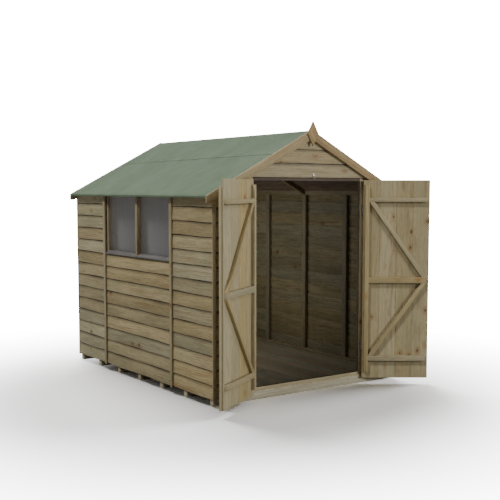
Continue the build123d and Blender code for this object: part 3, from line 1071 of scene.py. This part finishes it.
def add_inside_fill():
    """A large soft lamp in the middle of the room, for what the walls and floor throw back."""
    light = add_light("inside_fill", "POINT", LAMP_POWER, inside_pieces)
    light.data.shadow_soft_size = LAMP_RADIUS
    light.data.color = LAMP_COLOUR
    light.location = LAMP_PLACE
    light.visible_camera = False


def add_world():
    """White all round, dim as a light and bright to the camera."""
    world = bpy.data.worlds.new("world")
    bpy.context.scene.world = world
    world.use_nodes = True
    tree = world.node_tree
    back = tree.nodes["Background"]
    back.inputs["Color"].default_value = (1, 1, 1, 1)
    seen = tree.nodes.new("ShaderNodeLightPath").outputs["Is Camera Ray"]
    strength = tree.nodes.new("ShaderNodeMapRange")
    strength.inputs["To Min"].default_value = AMBIENT
    strength.inputs["To Max"].default_value = SKY
    tree.links.new(seen, strength.inputs[0])
    tree.links.new(strength.outputs[0], back.inputs["Strength"])


add_camera()
add_floor()
add_world()
add_suns(STUDIO_SUNS, None)
add_suns(SHED_SUNS, shed_pieces)
add_window_light()
add_inside_fill()
add_flag()

# The finishes, each with its own colours

rough = make_wood("overlap_boards", (0.410, 0.345, 0.190), (0.200, 0.143, 0.068), (0.265, 0.243, 0.126),
                  saw_marks=0.5, knots=0.84, tone_share=0.28, streaking=0.55, tint=0.75)
gable = make_wood("gable_boards", (0.395, 0.312, 0.156), (0.205, 0.140, 0.064), (0.300, 0.250, 0.125),
                  saw_marks=0.4, knots=0.74, tone_share=0.16, streaking=0.6, tint=0.5)
trim = make_wood("trim_timber", (0.36, 0.270, 0.132), (0.20, 0.135, 0.06), (0.27, 0.225, 0.11),
                 saw_marks=0.1, knots=0.86, tone_share=0.25)
doors = make_wood("door_timber", (0.350, 0.286, 0.147), (0.200, 0.145, 0.066), (0.284, 0.250, 0.128),
                  knots=0.74, tone_share=0.18, streaking=0.32, tint=0.3)
framing = make_wood("frame_timber", (0.400, 0.340, 0.210), (0.215, 0.165, 0.090), (0.300, 0.270, 0.160),
                    saw_marks=0.3, knots=0.84, tone_share=0.2, streaking=0.4, tint=0.4)
roofing = make_wood("roof_timber", (0.255, 0.195, 0.135), (0.13, 0.086, 0.058), (0.185, 0.15, 0.105),
                    saw_marks=0.2, knots=0.84, tone_share=0.3)
# The door header's wood is near-black: painted shade beneath the gable
header_shade_wood = make_wood("header_painted_shade", (0.120, 0.090, 0.060), (0.060, 0.042, 0.028), (0.090, 0.075, 0.050),
                   saw_marks=0.2, knots=0.84, tone_share=0.2)
flooring = make_wood("floor_timber", (0.50, 0.430, 0.290), (0.29, 0.235, 0.145), (0.39, 0.365, 0.235),
                     saw_marks=0.1, knots=0.84, tone_share=0.2, streaking=0.4)
sill = make_wood("sill_timber", (0.185, 0.175, 0.162), (0.105, 0.097, 0.088), (0.150, 0.145, 0.132),
                 saw_marks=0.1, knots=0.9, tone_share=0.2)
felt = make_felt()
# Two copies of one galvanised steel: the darker, for hinges and all fixings, is darkened as painted shade;
# the brighter, for the catch, is a painted highlight
steel = make_steel("galvanised_steel", (0.19, 0.185, 0.175), (0.30, 0.295, 0.28), (0.13, 0.125, 0.115))
lit_steel = make_steel("steel_painted_highlight", (0.42, 0.41, 0.385), (0.56, 0.55, 0.52), (0.30, 0.29, 0.27))
glazing = make_glazing()

# The shed, piece by piece

for side, panels in PANELS.items():
    for panel in panels:
        overlap_wall(panel, side, gable if panel == "front_gable_cladding" else rough)

deck_boards(flooring)
timber("floor_bearers", flooring, "floor_timber")
roof_boards("roof_boards_right", 1, roofing)
roof_boards("roof_boards_left", -1, roofing)
for leaf in LEAVES:
    leaf_boards(leaf, doors)
felt_slope("felt_right", 1, felt)
felt_slope("felt_left", -1, felt)
felt_cap(felt)

for node in ("left_wall_studs", "left_wall_rails", "right_wall_studs", "right_wall_rails", "rear_wall_studs",
             "rear_wall_rails", "rear_gable_rafters", "front_corner_studs", "front_bottom_rails",
             "front_gable_rafters", "door_posts", "truss_rafters"):
    timber(node, framing, "frame_timber")
# The door header in its near-black wood, as painted shade
timber("door_header", header_shade_wood, "frame_timber")
for node in ("left_cover_strips", "right_cover_strips", "rear_cover_strips"):
    timber(node, doors, "trim_timber")
for node in ("front_corner_strips", "window_mullion", "front_barge_right", "front_barge_left",
             "rear_barge_right", "rear_barge_left", "front_finial", "door_sill_rail"):
    timber(node, trim, "trim_timber")
timber("window_sill", sill, "trim_timber")
for leaf in LEAVES:
    for part in ("stile", "ledges", "braces"):
        timber(f"{leaf}_{part}", doors, "door_timber")
timber("left_door_cover_strip", doors, "door_timber")
timber("header_catch", lit_steel, "galvanised_steel", METAL_EASE)
for node in ("hinge_plates", "left_door_hinges", "right_door_hinges"):
    timber(node, steel, "galvanised_steel", METAL_EASE)
timber("window_panes", glazing, "glazing", PANE_EASE)

nails = Heads()
for side, panels in PANELS.items():
    for panel in panels:
        wall_nails(nails, panel, side)
nails.finish("panel_nails", "root", steel, "galvanised_steel")
clouts = Heads()
felt_clouts(clouts)
clouts.finish("felt_clouts", "root", steel, "galvanised_steel")
screws = Heads()
plate_screws(screws)
screws.finish("hinge_plate_screws", "root", steel, "galvanised_steel")
for leaf in LEAVES:
    fixings = Heads()
    leaf_nails(fixings, leaf)
    strap_screws(fixings, leaf)
    fixings.finish(leaf + "_fixings", leaf, steel, "galvanised_steel")
